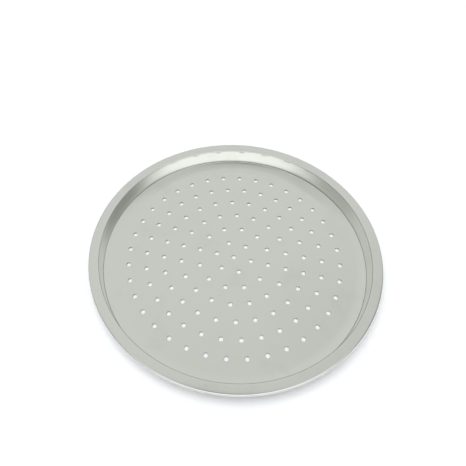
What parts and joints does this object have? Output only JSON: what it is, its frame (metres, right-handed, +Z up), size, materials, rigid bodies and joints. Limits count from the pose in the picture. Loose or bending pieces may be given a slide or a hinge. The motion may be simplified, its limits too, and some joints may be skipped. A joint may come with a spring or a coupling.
{
  "type": "pizza pan",
  "caption": "Round shallow baking pan with a perforated flat floor, a short steep wall and a flat flange whose edge is rolled around a wire, for baking pizza with a crisp base.",
  "frame": {"origin": "centre of the pan's flat underside, on the surface that it stands on", "axes": "+Z up out of the well along the pan's axis, +X along one straight row of holes"},
  "size_m": [0.3228, 0.3228, 0.0209],
  "materials": {
    "pan_metal": "satin silver sheet",
    "wire_metal": "bright drawn wire"
  },
  "bodies": {
    "root": {"pan_sheet": "pan_metal", "rim_wire": "wire_metal"}
  },
  "joints": []
}
